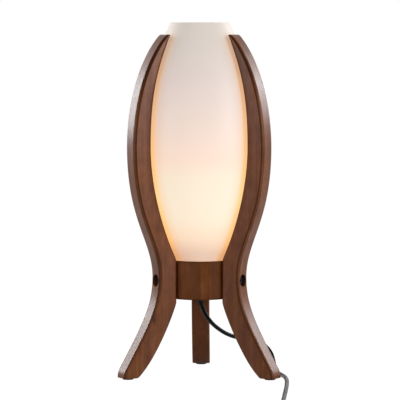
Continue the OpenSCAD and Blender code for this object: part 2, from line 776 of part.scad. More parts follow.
// The coil: in along the lower layer, a climb where the spiral turns back, and out on the upper one
rings_a_turn = 24;
climb = 0.5;
start_turn = 90;
function eased(t) = let (c = max(0, min(1, t))) c * c * (3 - 2 * c);
function turn_r(s) = coil_r - turn_pitch * min(s, coil_turns - s);
function turn_z(s) = mix(layer_z[0], layer_z[1], eased((s - coil_turns / 2) / climb + 0.5));
coil_middle = [
    for (i = [0 : coil_turns * rings_a_turn])
        let (s = i / rings_a_turn, a = start_turn + 360 * s)
        [coil_at[0] + turn_r(s) * cos(a), coil_at[1] + turn_r(s) * sin(a), turn_z(s)]
];
coil_points = concat([coil_in], coil_middle, [coil_out]);
// Least gap of the coil to itself, measured on its points that lie half a turn or more apart
self_gap = min([
    for (i = [0 : len(coil_middle) - 1], j = [i + rings_a_turn / 2 : len(coil_middle) - 1])
        norm(coil_middle[i] - coil_middle[j])
]) - cord_d;
echo(least_gap_of_the_coil_to_itself = self_gap);

module cord_coil() {
    color(black) tube(coil_points, cord_d, 6, [0, 1, 0]);
}

module coil_tie() {
    quarter = 0.25;
    room = 0.25;
    innermost = coil_r - turn_pitch * (floor(coil_turns / 2) + quarter);
    bow = innermost - sqrt(pow(innermost, 2) - pow(tie_w / 2, 2));
    inside = innermost - cord_r - bow - room;
    outside = coil_r - turn_pitch * quarter + cord_r + room;
    top = layer_z[1] + cord_r + room;
    color(white_plastic) translate([coil_at[0], coil_at[1] - tie_w / 2, 0]) difference() {
        translate([-outside - tie_t, 0, 0]) cube([outside - inside + 2 * tie_t, tie_w, top + tie_t]);
        translate([-outside, -1, tie_t]) cube([outside - inside, tie_w + 2, top - tie_t]);
    }
}

// In-line switch: two case halves, a rocker on a pin, terminals and screws
case_l = switch_l - 12;
case_corner = 9;
collar_r = 5.2;
collar_end_r = 4.2;
pivot_z = 12;
opening_l = 23;
opening_gap = 0.35;
pin_d = 2.5;
pin_l = 17;
boss_d = 5.2;
screw_d = 2.2;
screw_at = [17, 7.2];
switch_cavity_h = switch_h - 2 * switch_wall;

module rounded_plate(l, w, r, h) {
    linear_extrude(h) union() {
        square([l - 2 * r, w], center = true);
        square([l, w - 2 * r], center = true);
        for (x = [-1, 1], y = [-1, 1]) translate([x * (l / 2 - r), y * (w / 2 - r)]) circle(r);
    }
}

module at_switch() {
    translate([switch_at[0], switch_at[1], 0]) children();
}

module case_screw_places() {
    for (side = [-1, 1]) translate([side * screw_at[0], side * screw_at[1], 0]) children();
}

module case_shell() {
    difference() {
        union() {
            difference() {
                rounded_plate(case_l, switch_w, case_corner, switch_h);
                translate([0, 0, switch_wall]) rounded_plate(case_l - 2 * switch_wall,
                    switch_w - 2 * switch_wall, case_corner - switch_wall, switch_cavity_h);
            }
            for (side = [0, 180]) rotate(side) translate([case_l / 2 - switch_wall, 0, switch_axis_z])
                rotate([0, 90, 0]) cylinder(r1 = collar_r, r2 = collar_end_r,
                    h = (switch_l - case_l) / 2 + switch_wall);
            intersection() {
                case_screw_places() cylinder(d = boss_d, h = switch_h);
                rounded_plate(case_l, switch_w, case_corner, switch_h);
            }
        }
        translate([-switch_l, 0, switch_axis_z]) rotate([0, 90, 0])
            cylinder(d = cord_d + 2 * fit_gap, h = 2 * switch_l);
    }
}

module switch_base() {
    head_d = 4.4;
    color(black) at_switch() difference() {
        case_shell();
        translate([-switch_l, -switch_w, switch_axis_z]) cube([2 * switch_l, 2 * switch_w, switch_h]);
        case_screw_places() {
            translate([0, 0, -1]) cylinder(d = head_d + 0.4, h = 2.6);
            cylinder(d = screw_d + 2 * fit_gap, h = switch_h);
        }
    }
}

module switch_cover() {
    rib_in = rocker_w / 2 + opening_gap;
    rib_out = switch_w / 2 - switch_wall / 2;
    rib_h = 4;
    color(black) at_switch() difference() {
        union() {
            difference() {
                case_shell();
                translate([-switch_l, -switch_w, -1])
                    cube([2 * switch_l, 2 * switch_w, switch_axis_z + 1]);
                translate([-opening_l / 2, -rib_in, switch_h / 2 + 1])
                    cube([opening_l, 2 * rib_in, switch_h]);
            }
            for (side = [-1, 1]) translate([-3, side > 0 ? rib_in : -rib_out, pivot_z - rib_h / 2 - 1])
                cube([6, rib_out - rib_in, rib_h]);
        }
        translate([0, -pin_l / 2 - fit_gap, pivot_z]) rotate([-90, 0, 0])
            cylinder(d = pin_d + 2 * fit_gap, h = pin_l + 2 * fit_gap);
        case_screw_places() cylinder(d = screw_d + 2 * fit_gap, h = switch_h - switch_wall - 1);
    }
}

// The rocker lies pressed down at its lamp end, which is on
module switch_rocker() {
    half = rocker_l / 2;
    color("#2a2a2b") translate([switch_at[0], switch_at[1], pivot_z]) rotate([0, rocker_tilt, 0])
        difference() {
            rotate([90, 0, 0]) linear_extrude(rocker_w, center = true) polygon([
                [-half, 4.3], [-half / 2, 3.4], [0, 3.1], [half / 2, 3.4], [half, 4.3],
                [half - 0.6, -0.6], [3.2, -3.6], [-3.2, -3.6], [-half + 0.6, -0.6]
            ]);
            rotate([90, 0, 0]) cylinder(d = pin_d + 2 * fit_gap, h = 2 * rocker_w, center = true);
        }
}

module rocker_pin() {
    color(steel) translate([switch_at[0], switch_at[1], pivot_z]) rotate([90, 0, 0])
        cylinder(d = pin_d, h = pin_l, center = true);
}

lead_in = 12;

module switch_terminals() {
    block = [6, 7, 4];
    block_at = case_l / 2 - switch_wall - 10;
    color(brass) at_switch() for (side = [0, 180]) rotate(side) difference() {
        translate([block_at - block[0], -block[1] / 2, switch_wall]) cube(block);
        translate([block_at - block[0] / 2, 0, switch_wall + 1.5]) cylinder(d = 3, h = block[2]);
    }
}

module switch_leads() {
    color(black) at_switch() for (side = [0, 180]) rotate(side)
        translate([switch_l / 2 - lead_in, 0, switch_axis_z]) rotate([0, 90, 0])
            cylinder(d = cord_d, h = lead_in);
}

module switch_screws() {
    head_t = 1.2;
    head_z = 0.4;
    color(steel) at_switch() case_screw_places() {
        translate([0, 0, head_z]) cylinder(d = 4.4, h = head_t);
        translate([0, 0, head_z]) cylinder(d = screw_d, h = switch_h - switch_wall - 1.6 - head_z);
    }
}

// Two-blade plug with a tapered cord relief, lying flat beside the coil
relief_l = 20;
blade = [6.35, 1.5];
blade_in = 8;
plug_root = plug_in[0] + relief_l;
plug_face = plug_root + plug_l;

module plug_slab(x, w, h, r, t = 1) {
    translate([x, plug_in[1], plug_h / 2]) rotate([90, 0, 90]) linear_extrude(t) union() {
        square([w - 2 * r, h], center = true);
        square([w, h - 2 * r], center = true);
        for (a = [-1, 1], b = [-1, 1]) translate([a * (w / 2 - r), b * (h / 2 - r)]) circle(r, $fn = 20);
    }
}

module blade_places() {
    for (side = [-1, 1]) translate([plug_face, plug_in[1] + side * blade_gap / 2, plug_h / 2]) children();
}

module plug_body() {
    round = 4;
    waist_w = plug_w - 6;
    color(black) difference() {
        union() {
            hull() {
                plug_slab(plug_root, 12, 11, round);
                plug_slab(plug_root + 0.3 * plug_l, waist_w, plug_h - 3, round);
            }
            hull() {
                plug_slab(plug_root + 0.3 * plug_l, waist_w, plug_h - 3, round);
                plug_slab(plug_face - 0.45 * plug_l, plug_w, plug_h, round);
            }
            hull() {
                plug_slab(plug_face - 0.45 * plug_l, plug_w, plug_h, round);
                plug_slab(plug_face - 1, plug_w, plug_h, round);
            }
            translate(plug_in) rotate([0, 90, 0])
                cylinder(d1 = cord_d + 1.2, d2 = cord_d + 4, h = relief_l + 1);
        }
        blade_places() translate([-blade_in, -blade[1] / 2, -blade[0] / 2])
            cube([blade_in + 1, blade[1], blade[0]]);
    }
}

module plug_blades() {
    hole_d = 3;
    tip = 1.5;
    color(brass) blade_places() difference() {
        translate([-blade_in, -blade[1] / 2, 0]) rotate([-90, 0, 0]) linear_extrude(blade[1]) polygon([
            [0, -blade[0] / 2], [blade_in + blade_l - tip, -blade[0] / 2],
            [blade_in + blade_l, -blade[0] / 2 + tip], [blade_in + blade_l, blade[0] / 2 - tip],
            [blade_in + blade_l - tip, blade[0] / 2], [0, blade[0] / 2]
        ]);
        translate([blade_l - 5, 0, 0]) rotate([90, 0, 0]) cylinder(d = hole_d, h = 4, center = true);
    }
}

leg_rear();
leg_front_left();
leg_front_right();
hub();
leg_bolts();
bolt_washers();
hub_inserts();
leg_dowels();
foot_pads();
pad_nails();
shade();
shade_gasket();
threaded_pipe();
pipe_nut();
pipe_washer();
holder_cap();
holder_base();
holder_sleeve();
screw_shell();
centre_contact();
terminal_screws();
line_wire();
neutral_wire();
cord_lead();
cord_grip();
bulb_globe();
bulb_housing();
led_plate();
bulb_cap();
bulb_insulator();
bulb_contact();
cord_drop();
switch_base();
switch_cover();
switch_rocker();
rocker_pin();
switch_terminals();
switch_leads();
switch_screws();
cord_link();
cord_coil();
coil_tie();
cord_tail();
plug_body();
plug_blades();
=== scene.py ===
"""A table lamp: opal glass held by three curved wooden legs on a wooden hub, with its mains cord."""
import json
import math

import bmesh
import bpy
from mathutils import Matrix, Vector

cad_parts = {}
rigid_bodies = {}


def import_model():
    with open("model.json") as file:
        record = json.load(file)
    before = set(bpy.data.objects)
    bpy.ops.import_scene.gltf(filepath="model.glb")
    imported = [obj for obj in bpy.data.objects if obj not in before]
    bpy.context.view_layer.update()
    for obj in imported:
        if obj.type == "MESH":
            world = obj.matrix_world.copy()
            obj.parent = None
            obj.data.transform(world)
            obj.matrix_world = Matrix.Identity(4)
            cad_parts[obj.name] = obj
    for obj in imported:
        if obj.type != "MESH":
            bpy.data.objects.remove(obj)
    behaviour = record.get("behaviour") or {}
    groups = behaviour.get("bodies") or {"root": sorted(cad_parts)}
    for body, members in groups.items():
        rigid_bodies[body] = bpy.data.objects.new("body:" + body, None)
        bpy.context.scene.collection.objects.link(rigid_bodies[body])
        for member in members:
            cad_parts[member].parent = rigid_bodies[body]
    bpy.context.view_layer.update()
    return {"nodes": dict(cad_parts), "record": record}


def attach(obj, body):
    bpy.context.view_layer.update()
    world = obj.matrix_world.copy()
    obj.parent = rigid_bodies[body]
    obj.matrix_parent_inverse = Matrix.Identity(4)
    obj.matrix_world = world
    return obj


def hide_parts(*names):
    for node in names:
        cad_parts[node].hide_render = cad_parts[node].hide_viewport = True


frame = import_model()
scene = bpy.context.scene
MM = 0.001

# ---------------------------------------------------------------- camera

camera = bpy.data.objects.new("camera", bpy.data.cameras.new("camera"))
scene.collection.objects.link(camera)
camera.location = (0.061, -3.2445, 0.4323)
aim = Vector((0.0003, 0, 0.2278)) - camera.location
camera.rotation_euler = aim.to_track_quat("-Z", "Y").to_euler()
camera.data.lens = 225
camera.data.sensor_width = 36
camera.data.clip_end = 30
scene.camera = camera

# ---------------------------------------------------------------- sizes, in millimetres

LEG_T, LEG_EDGE, LEG_H = 23.5, 3.8, 442.5
PAD_T, PAD_D, PAD_R = 2, 14, 105.4
HUB_R, HUB_Z, HUB_H, SEAT_R = 40, 100.8, 50, 39.5
HUB_TOP = HUB_Z + HUB_H
BOLT_Z = HUB_Z + HUB_H / 2
LEDGE_Z = HUB_TOP - 8.4
NECK_Z = LEDGE_Z + 1.5
FLOOR_Z = HUB_Z + 10.6
SHADE_TOP = NECK_Z + 314.1
GLASS_T, GLASS_GAP, LIP_R, NECK_R = 3, 2.3, 1.5, 37
BOLT_R, HEAD_R, HEAD_T, HEAD_AT = 2.95, 6.7, 3.3, 57
CORD_R = 2.75
TIE_T, TIE_W = 0.6, 8
LEG_TURNS = {"leg_rear": 90, "leg_front_left": 210, "leg_front_right": 330}


def lean(degrees):
    """The (r, z) direction that leans outward from straight up."""
    return Vector((math.sin(math.radians(degrees)), math.cos(math.radians(degrees))))


def curve(a, b, c, d, n, first=0):
    """Points of the cubic curve from a to d with the handles b and c."""
    points = []
    for i in range(first, n + 1):
        t = i / n
        points.append((1 - t) ** 3 * a + 3 * (1 - t) ** 2 * t * b + 3 * (1 - t) * t * t * c + t ** 3 * d)
    return points


def steps(a, b, n):
    """n points after a on the way to b."""
    return [a + (b - a) * (i / n) for i in range(1, n + 1)]


# ---------------------------------------------------------------- finishes


class Value:
    """One socket of a material's nodes; arithmetic on it adds Math nodes."""

    def __init__(self, finish, node, output=0):
        self.finish, self.node = finish, node
        self.socket = node.outputs[output] if node.outputs else None

    def out(self, output):
        return Value(self.finish, self.node, output)

    def math(self, operation, *others):
        return self.finish.node("Math", {"operation": operation}, dict(enumerate((self, *others))))

    def __add__(self, other):
        return self.math("ADD", other)

    def __sub__(self, other):
        return self.math("SUBTRACT", other)

    def __mul__(self, other):
        return self.math("MULTIPLY", other)

    def __rsub__(self, other):
        return self.finish.node("Math", {"operation": "SUBTRACT"}, {0: other, 1: self})

    __radd__ = __add__
    __rmul__ = __mul__


class Finish:
    """A material, or the world, being made: nodes are added by kind, settings and inputs."""

    def __init__(self, name, kind="materials"):
        self.made = getattr(bpy.data, kind).new(name)
        self.made.use_nodes = True
        self.tree = self.made.node_tree
        self.tree.nodes.clear()

    def node(self, kind, settings=None, inputs=None):
        """Adds a node: its settings, such as an operation or a ramp's stops, and its sockets' values or links."""
        made = self.tree.nodes.new("ShaderNode" + kind)
        for key, value in (settings or {}).items():
            if key == "stops":
                elements = made.color_ramp.elements
                while len(elements) < len(value):
                    elements.new(1)
                for element, (position, colour) in zip(elements, value):
                    element.position = position
                    element.color = (*colour, 1)
            else:
                setattr(made, key, value)
        for key, value in (inputs or {}).items():
            if isinstance(value, Value):
                self.tree.links.new(value.socket, made.inputs[key])
            elif isinstance(value, tuple) and len(value) == 3 and made.inputs[key].type == "RGBA":
                made.inputs[key].default_value = (*value, 1)
            else:
                made.inputs[key].default_value = value
        return Value(self, made)

    def place(self):
        """Where a point of the surface is on its object, in metres."""
        return self.node("TexCoord").out("Object")

    def attribute(self, name, output):
        """What the mesh carries at its points under a name."""
        return self.node("Attribute", {"attribute_name": name}).out(output)

    def parts(self, vector):
        """The x, y and z of a vector."""
        split = self.node("SeparateXYZ", {}, {0: vector})
        return split, split.out(1), split.out(2)

    def stretched(self, place, scale):
        return self.node("Mapping", {}, {"Vector": place, "Scale": scale})

    def noise(self, place, scale, detail=2.0, rough=0.5, twist=0.0):
        return self.node("TexNoise", {}, {
            "Vector": place, "Scale": scale, "Detail": detail, "Roughness": rough, "Distortion": twist})

    def ramp(self, value, stops):
        return self.node("ValToRGB", {"stops": stops}, {0: value})

    def level(self, value, low, high, out_low=0.0, out_high=1.0):
        """value between low and high, moved to the other range and held there, with soft ends."""
        return self.node("MapRange", {"interpolation_type": "SMOOTHSTEP"}, {
            0: value, 1: low, 2: high, 3: out_low, 4: out_high})

    def band(self, value, a, b, c, d):
        """1 where value is from b to c, fading to 0 at a and at d."""
        return self.level(value, a, b) * self.level(value, c, d, 1, 0)

    def mix(self, factor, a, b, how="MIX"):
        """A mix of two colours."""
        return self.node("Mix", {"data_type": "RGBA", "blend_type": how}, {0: factor, 6: a, 7: b}).out(2)

    def bump(self, height, distance, strength):
        return self.node("Bump", {}, {"Height": height, "Distance": distance, "Strength": strength})

    def seen(self):
        """1 for rays from the camera and for those that a gloss or glass sends on, else 0."""
        rays = self.node("LightPath")
        return rays.math("MAXIMUM", rays.out("Is Glossy Ray")).math("MAXIMUM", rays.out("Is Transmission Ray"))

    def shader(self, **inputs):
        """A Principled shader; a name's underscores stand for spaces."""
        return self.node("BsdfPrincipled", {}, {k.replace("_", " "): v for k, v in inputs.items()})

    def surface(self, **inputs):
        return self.close(self.shader(**inputs))

    def close(self, shader, kind="OutputMaterial"):
        """Ends the nodes with a shader; returns what was made."""
        self.node(kind, {}, {0: shader})
        return self.made


def dimmed(colour, share):
    """A share of a colour."""
    return tuple(share * c for c in colour)


def lacquered_wood(name, dark, middle, light, gloss=0.315, shine=0.14):
    """Stained brown wood with fibres, bands, pores and small knots, with painted shade darkening its rounded edges.

    The mesh carries two values for it. "board" is a place on the board, with its z along the grain.
    "corner" is 0 on the outer face, 1 on a side, 2 on the inner face, 0.25 in the bolt's hole, where it paints
    shade nearly black, and 0.3 on the hub's rims and seats, where it paints a darker edge shade.
    """
    f = Finish(name)
    board, corner = f.attribute("board", "Vector"), f.attribute("corner", "Fac")

    def grain(across, along, *look):
        """Noise on the board, drawn out across and along its grain."""
        return f.noise(f.stretched(board, (1, across, along)), *look)

    bands = grain(0.7, 0.03, 150, 3, 0.6, 0.4)
    fibres = grain(1, 0.02, 900, 3, 0.65)
    cloud = grain(1, 0.6, 75, 4, 0.6)
    tone = bands * 0.42 + fibres * 0.2 + cloud * 0.46 + grain(1, 0.5, 22, 2) * 0.2
    colour = f.ramp(tone, [(0.45, dark), (0.64, middle), (0.83, light)])
    stain = f.level(grain(1, 0.5, 34, 2), 0.36, 0.64)
    colour = f.mix(1.0, colour, f.mix(stain, (0.97, 0.96, 1.12), (1.04, 1.0, 0.84)), "MULTIPLY")

    pores = f.level(grain(1, 0.045, 1500, 1, 0.5), 0.66, 0.76)
    streak = f.level(grain(1, 0.05, 60, 1), 0.62, 0.72)
    outer_face = f.level(corner, 0.0, 0.7, 1, 0)
    knots = f.node("TexVoronoi", {}, {"Vector": f.stretched(board, (1, 1, 0.55)), "Scale": 17.0})
    spots = f.level(knots.out("Distance"), 0.03, 0.1, 1, 0) * f.level(cloud, 0.46, 0.56)
    # Painted shade: the bolt's hole, marked 0.25, is painted nearly black.
    bore_shade = f.band(corner, 0.21, 0.235, 0.265, 0.29)
    for share, tint in (
        (pores * 0.3, dimmed(dark, 0.45)),
        (streak * 0.45, (0.55 * dark[0], 0.9 * dark[1], 1.6 * dark[2])),
        (outer_face * 0.25, dimmed(dark, 0.55)),
        (spots * 0.75, dimmed(dark, 0.3)),
        (bore_shade * 0.9, (0.006, 0.004, 0.003)),
    ):
        colour = f.mix(share, colour, tint)

    # Painted shade on the rounded edges: at the tips the rounding beside the strip, all of it on the left and a part on
    # the right;
    # below, a line beside the strip at the foot and beside the board's side above it, and the inner edges.
    x, _, up = f.parts(f.place())
    right, tip, foot = f.level(x, -0.01, 0.01), f.level(up, 0.34, 0.40), f.level(up, 0.10, 0.17, 1, 0)
    whole = f.band(corner, 0.0, 0.2, 0.85, 1.0)
    beside_strip = f.band(corner, 0.02, 0.14, 0.3, 0.6)
    beside_side = f.band(corner, 0.55, 0.75, 0.94, 1.0)
    soft = f.band(corner, 0.3, 0.55, 0.9, 1.0)
    line = (beside_strip * (1 - right) + soft * right) * foot
    line = line + beside_side * (1 - foot) + whole * (0.3 - 0.2 * right)
    tip_edge_shade = whole * (1 - right) + soft * right
    edge_shade_mask = tip_edge_shade * tip + line * (1 - tip) * 0.85 + f.level(corner, 1.1, 1.4) * 0.6
    lacquer = f.shader(
        Base_Color=colour,
        Roughness=f.level(fibres, 0.3, 0.7, gloss - 0.02, gloss + 0.03) + foot * 0.04,
        Specular_IOR_Level=shine,
        Coat_Weight=0.04,
        Coat_Roughness=0.3,
        Normal=f.bump(fibres * 0.5 - pores * 0.6, 0.00005, 0.06),
    )
    # The painted edge shade's colour, darker at the tips.
    edge_shade_colour = f.mix(tip, dimmed(dark, 0.8), dimmed(dark, 0.5))
    edge_shade_surface = f.shader(Base_Color=edge_shade_colour, Roughness=0.6, Specular_IOR_Level=0.05)
    return f.close(f.node("MixShader", {}, {0: edge_shade_mask, 1: lacquer, 2: edge_shade_surface}))


# The glass's light by height, from 0 at its neck to 1 at its mouth: halfway between two legs, and a painted warm glow
# beside a leg.
GLOW = [
    (0.055, (0.59, 0.37, 0.25)),
    (0.12, (0.77, 0.54, 0.365)),
    (0.20, (0.76, 0.63, 0.46)),
    (0.28, (0.75, 0.63, 0.47)),
    (0.365, (0.73, 0.61, 0.455)),
    (0.445, (0.72, 0.52, 0.405)),
    (0.61, (0.58, 0.455, 0.4)),
    (0.77, (0.475, 0.395, 0.37)),
    (0.93, (0.41, 0.365, 0.33)),
]
PAINTED_FRINGE_GLOW = [
    (0.05, (0.75, 0.38, 0.175)),
    (0.115, (1.0, 0.56, 0.21)),
    (0.28, (1.0, 0.68, 0.31)),
    (0.4, (1.0, 0.59, 0.24)),
    (0.6, (0.88, 0.51, 0.25)),
    (0.8, (0.65, 0.385, 0.225)),
    (0.93, (0.58, 0.39, 0.28)),
]


def opal_glass(name):
    """White glass, etched to a satin, that glows round the bulb, with painted shade and a painted warm glow beside the
    legs.
    """
    f = Finish(name)
    place = f.place()
    x, y, z = f.parts(place)
    # metres along the glass from the middle of the nearest leg
    turns = y.math("ARCTAN2", x) * 3 - 1.5 * math.pi
    away = (x * x + y * y).math("SQRT") * turns.math("COSINE").math("ARCCOSINE") * (1 / 3)
    # Painted shade and glow: beside each leg the glass is darker in colour and warmer in its light, as where the leg
    # shades it from the room.
    below_tips = f.level(z, 0.432, 0.448, 1, 0)
    fringe_shade_and_glow = f.level(away, 0.007, 0.020, 1, 0) * below_tips
    painted_warmth = f.mix(f.level(away, 0.01, 0.034, 1, 0) * below_tips, (1, 1, 1), (0.99, 0.88, 0.77))
    height = f.node("MapRange", {}, {0: z, 1: 0.143, 2: 0.457})
    cloud = f.noise(place, 14, 2)
    white = f.mix(f.level(cloud, 0.3, 0.7), (0.44, 0.40, 0.36), (0.43, 0.385, 0.35))
    glow = f.mix(1.0, f.ramp(height, GLOW), painted_warmth, "MULTIPLY")
    return f.surface(
        Base_Color=f.mix(fringe_shade_and_glow, white, (0.31, 0.205, 0.11)),
        Roughness=f.level(cloud, 0.2, 0.8, 0.42, 0.5),
        Specular_IOR_Level=0.25,
        Emission_Color=f.mix(fringe_shade_and_glow, glow, f.ramp(height, PAINTED_FRINGE_GLOW)),
        Emission_Strength=1.0,
    )


def plain(name, colour, rough, metal=0.0, grain=1400, depth=0.00002, **more):
    """A moulded or plated finish: one colour with a slight cloud, a fine grain and uneven gloss."""
    f = Finish(name)
    place = f.place()
    cloud, fine = f.noise(place, 60, 2), f.noise(place, grain, 2)
    return f.surface(
        Base_Color=f.mix(f.level(cloud, 0.3, 0.7), dimmed(colour, 0.88), colour),
        Roughness=f.level(cloud + fine * 0.3, 0.4, 0.9, rough - 0.04, rough + 0.06),
        Metallic=metal,
        Normal=f.bump(fine, depth, 0.4),
        **more,
    )


def glowing(name, colour, strength):
    """The bulb's frosted dome, with a slight cloud in its light."""
    f = Finish(name)
    cloud = f.noise(f.place(), 40, 1)
    return f.surface(
        Base_Color=(0.85, 0.8, 0.7),
        Roughness=0.5,
        Emission_Color=f.mix(f.level(cloud, 0.2, 0.8), colour, dimmed(colour, 0.92)),
        Emission_Strength=strength,
    )


def led_board(name):
    """A white-faced board; its chips are yellow squares above the face."""
    f = Finish(name)
    _, _, z = f.parts(f.place())
    chip = f.level(z, 0.18422, 0.18426)
    return f.surface(
        Base_Color=f.mix(chip, (0.8, 0.8, 0.78), (0.85, 0.6, 0.12)), Roughness=0.4, Specular_IOR_Level=0.5)


finishes = {
    "leg_wood": lacquered_wood(
        "leg_wood", (0.115, 0.034, 0.010), (0.190, 0.062, 0.022), (0.265, 0.100, 0.042)),
    "hub_wood": lacquered_wood(
        "hub_wood", (0.105, 0.027, 0.006), (0.170, 0.050, 0.012), (0.240, 0.082, 0.025), 0.34, 0.08),
    "opal_glass": opal_glass("opal_glass"),
    "dowel_wood": plain("dowel_wood", (0.55, 0.38, 0.2), 0.6),
    "clear_rubber": plain("clear_rubber", (0.7, 0.7, 0.67), 0.35),
    "pad_rubber": plain("pad_rubber", (0.008, 0.007, 0.007), 0.6, Specular_IOR_Level=0.15),
    "black_steel": plain("black_steel", (0.012, 0.012, 0.013), 0.42, Coat_Weight=0.15),
    "zinc_steel": plain("zinc_steel", (0.55, 0.56, 0.58), 0.3, 1.0),
    "nickel": plain("nickel", (0.62, 0.6, 0.55), 0.22, 1.0),
    "brass": plain("brass", (0.62, 0.42, 0.15), 0.3, 1.0),
    "black_plastic": plain("black_plastic", (0.009, 0.009, 0.010), 0.4, depth=0.00005, Specular_IOR_Level=0.3),
    "rocker_plastic": plain("rocker_plastic", (0.011, 0.011, 0.012), 0.24, Specular_IOR_Level=0.35),
    "phenolic": plain("phenolic", (0.16, 0.075, 0.03), 0.35),
    "white_plastic": plain("white_plastic", (0.8, 0.79, 0.75), 0.3),
    "bulb_diffuser": glowing("bulb_diffuser", (1.0, 0.78, 0.48), 2.2),
    "led_board": led_board("led_board"),
    "cord_sheath": plain(
        "cord_sheath", (0.004, 0.004, 0.004), 0.3, grain=2600, depth=0.00003, Specular_IOR_Level=0.07),
    "line_core": plain("line_core", (0.02, 0.02, 0.02), 0.45),
    "neutral_core": plain("neutral_core", (0.72, 0.72, 0.68), 0.45),
}
slots = {row["node"]: row["material_slot"] for row in frame["record"]["subparts"]}
for node, part in frame["nodes"].items():
    part.data.materials.clear()
    part.data.materials.append(finishes[slots[node]])


# ---------------------------------------------------------------- making pieces


def mesh_of(bm, name):
    """Turns a bmesh, its faces outward, into a mesh."""
    bmesh.ops.recalc_face_normals(bm, faces=bm.faces)
    mesh = bpy.data.meshes.new(name)
    bm.to_mesh(mesh)
    bm.free()
    return mesh


def shown(name, data, slot, body):
    """An object of a mesh or curve that has its finish and rides on a body."""
    data.materials.append(finishes[slot])
    made = bpy.data.objects.new(name, data)
    scene.collection.objects.link(made)
    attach(made, body)
    return made


def piece(name, bm, slot, body, *nodes, crease=38):
    """Makes a finished piece of a bmesh: it rides on a body and stands for the CAD nodes named."""
    bmesh.ops.remove_doubles(bm, verts=bm.verts, dist=1e-7)
    mesh = mesh_of(bm, name)
    mesh.shade_smooth()
    mesh.set_sharp_from_angle(angle=math.radians(crease))
    made = shown(name, mesh, slot, body)
    if nodes:
        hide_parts(*nodes)
    return made


def closed_line(bm, points):
    """A closed line of edges through points, in millimetres."""
    verts = [bm.verts.new(Vector(p) * MM) for p in points]
    return [bm.edges.new(pair) for pair in zip(verts, verts[1:] + verts[:1])]


def turned(profile, turns, closed=True):
    """Spins a profile of (r, z) points, in millimetres, round the lamp's axis."""
    bm = bmesh.new()
    line = [bm.verts.new((r * MM, 0, z * MM)) for r, z in profile]
    ends = line[1:] + line[:1] if closed else line[1:]
    edges = [bm.edges.new(pair) for pair in zip(line, ends)]
    bmesh.ops.spin(
        bm, geom=line + edges, cent=(0, 0, 0), axis=(0, 0, 1), angle=math.tau, steps=turns, use_merge=True)
    return bm


def bridged(rings):
    """Joins closed rings of points, in millimetres, one to the next, and closes both ends."""
    bm = bmesh.new()
    loops = [closed_line(bm, ring) for ring in rings]
    for one, other in zip(loops, loops[1:]):
        bmesh.ops.bridge_loops(bm, edges=one + other)
    for end in (loops[0], loops[-1]):
        bmesh.ops.edgeloop_fill(bm, edges=end)
    return bm


def rod(bm, radius, length, sides, matrix):
    """Adds a closed cylinder, in millimetres, along a matrix's z with its middle at the origin; returns its points."""
    return bmesh.ops.create_cone(
        bm, cap_ends=True, segments=sides, radius1=radius * MM, radius2=radius * MM, depth=length * MM,
        matrix=matrix)["verts"]


def soften(bm, edges, size, parts):
    """Rounds edges by a size in millimetres."""
    bmesh.ops.bevel(bm, geom=edges, offset=size * MM, segments=parts, profile=0.5, affect="EDGES", material=-1)


def rounded(w, t, r, arc=6):
    """A rounded rectangle as (a, b, corner) points; corner is 0 on the outer face, 1 on a side, 2 inside."""
    ease = 0.9
    points = []
    r = min(r, 0.49 * w, 0.49 * t)
    for quarter, (side_a, side_b, corner, change, da, db) in enumerate((
        (1, 1, 0, 1, -1, 0), (-1, 1, 1, 1, 0, -1), (-1, -1, 2, -1, 1, 0), (1, -1, 1, -1, 0, 1),
    )):
        ca, cb = (w / 2 - r) * side_a, (t / 2 - r) * side_b
        for i in range(arc + 1):
            a = math.radians(90 * quarter + 90 * i / arc)
            points.append((ca + r * math.cos(a), cb + r * math.sin(a), corner + change * i / arc))
        along = (t if quarter % 2 else w) - 2 * r
        step = min(ease, along / 4)
        a0, b0, end = points[-1]
        for d in (step, along / 2, along - step):
            points.append((a0 + da * d, b0 + db * d, end))
    return points


def carve(target, cutter_mesh, crease):
    """Takes the cutter's solid out of a piece and keeps the result as the piece's own mesh."""
    cutter = bpy.data.objects.new("cutter", cutter_mesh)
    scene.collection.objects.link(cutter)
    cut = target.modifiers.new("cut", "BOOLEAN")
    cut.object, cut.operation, cut.solver = cutter, "DIFFERENCE", "EXACT"
    whole = target.evaluated_get(bpy.context.evaluated_depsgraph_get())
    result = bpy.data.meshes.new_from_object(whole)
    target.modifiers.clear()
    target.data = result
    bpy.data.objects.remove(cutter)
    result.set_sharp_from_angle(angle=math.radians(crease))


def about_z(degrees, size=4):
    return Matrix.Rotation(math.radians(degrees), size, "Z")


def about_y(degrees):
    return Matrix.Rotation(math.radians(degrees), 4, "Y")


def bolt_frame(turn, out=0):
    """The frame on a leg's bolt whose z points out along the bolt, moved out by a distance in millimetres."""
    return about_z(turn) @ Matrix.Translation((0, 0, BOLT_Z * MM)) @ about_y(90) @ Matrix.Translation((0, 0, out * MM))


def drill(profile, turn):
    """The solid that a stepped drill takes out of a leg: a spun profile of (r, distance from the lamp's axis)."""
    bm = turned([(0, profile[0][1])] + profile + [(0, profile[-1][1])], 64, closed=False)
    bmesh.ops.remove_doubles(bm, verts=bm.verts, dist=1e-7)
    bmesh.ops.transform(bm, verts=bm.verts, matrix=bolt_frame(turn))
    return mesh_of(bm, "drill")


# ---------------------------------------------------------------- glass

neck_end = Vector((NECK_R, NECK_Z + 8))
glass_belly = Vector((74.4, NECK_Z + 154))
mouth_end = Vector((38.8, SHADE_TOP - LIP_R * (1 - math.sin(math.radians(25)))))
glass_outer = [Vector((NECK_R, NECK_Z))] + curve(
    neck_end, neck_end + 53 * lean(27), glass_belly - Vector((0, 44)), glass_belly, 40
) + curve(
    glass_belly, glass_belly + Vector((0, 68)), mouth_end - 63 * lean(-25), mouth_end, 44, 1)


